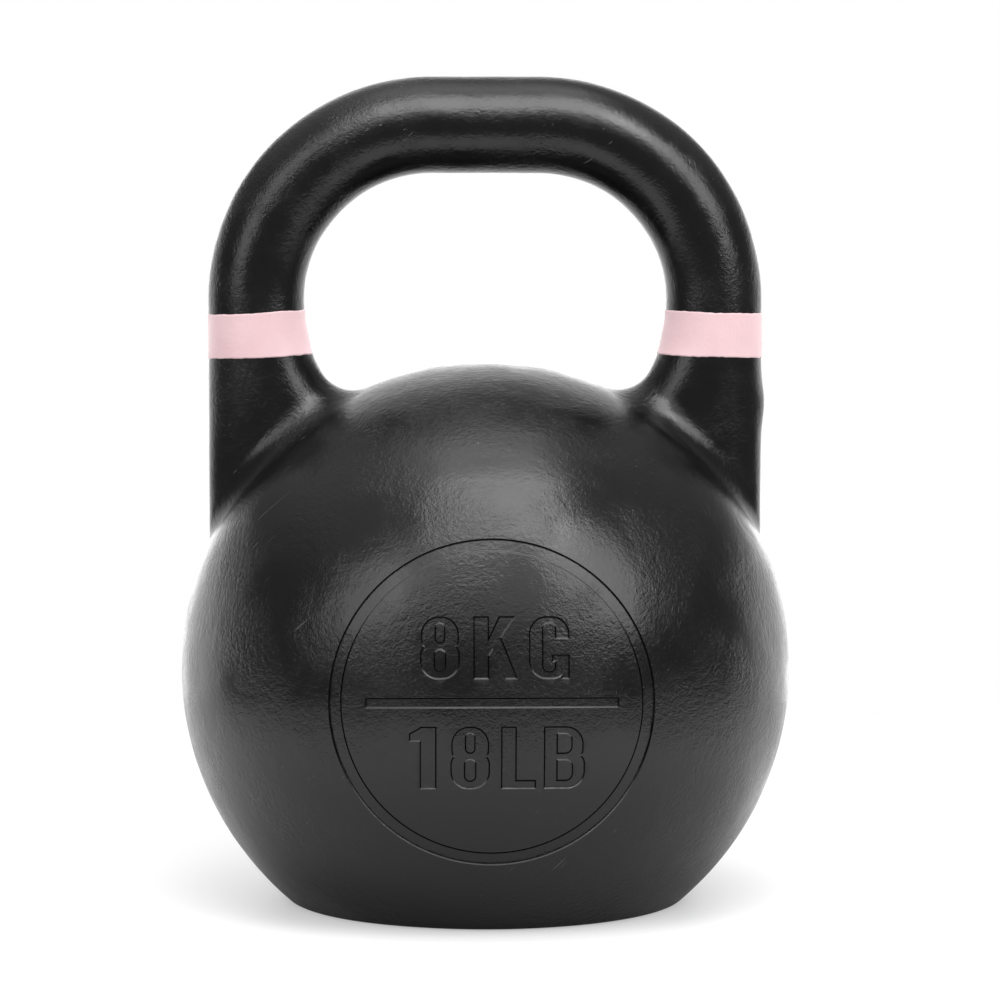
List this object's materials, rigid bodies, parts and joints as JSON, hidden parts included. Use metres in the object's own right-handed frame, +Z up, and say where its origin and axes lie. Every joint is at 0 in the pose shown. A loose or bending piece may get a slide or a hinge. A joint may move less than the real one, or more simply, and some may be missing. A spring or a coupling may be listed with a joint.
{
  "type": "kettlebell",
  "caption": "Hollow cast competition kettlebell: round ball with a flat foot, flared horns, a looped round handle, colour bands and a sunk weight mark.",
  "frame": {"origin": "middle of the flat foot, on the floor", "axes": "+Z up through the handle, -Y is the front with the weight mark, +X to the right seen from the front"},
  "size_m": [0.209, 0.209, 0.2824],
  "materials": {
    "black_paint": "satin",
    "pink_paint": "satin",
    "plug_steel": "satin",
    "seal_rubber": "matte",
    "trim_steel": "satin"
  },
  "bodies": {
    "root": {"ball_shell": "black_paint", "left_horn": "black_paint", "right_horn": "black_paint", "handle": "black_paint", "left_colour_band": "pink_paint", "right_colour_band": "pink_paint", "base_plug": "plug_steel", "plug_seal": "seal_rubber", "trim_discs": "trim_steel", "trim_washer": "trim_steel", "trim_screw": "trim_steel"}
  },
  "joints": []
}
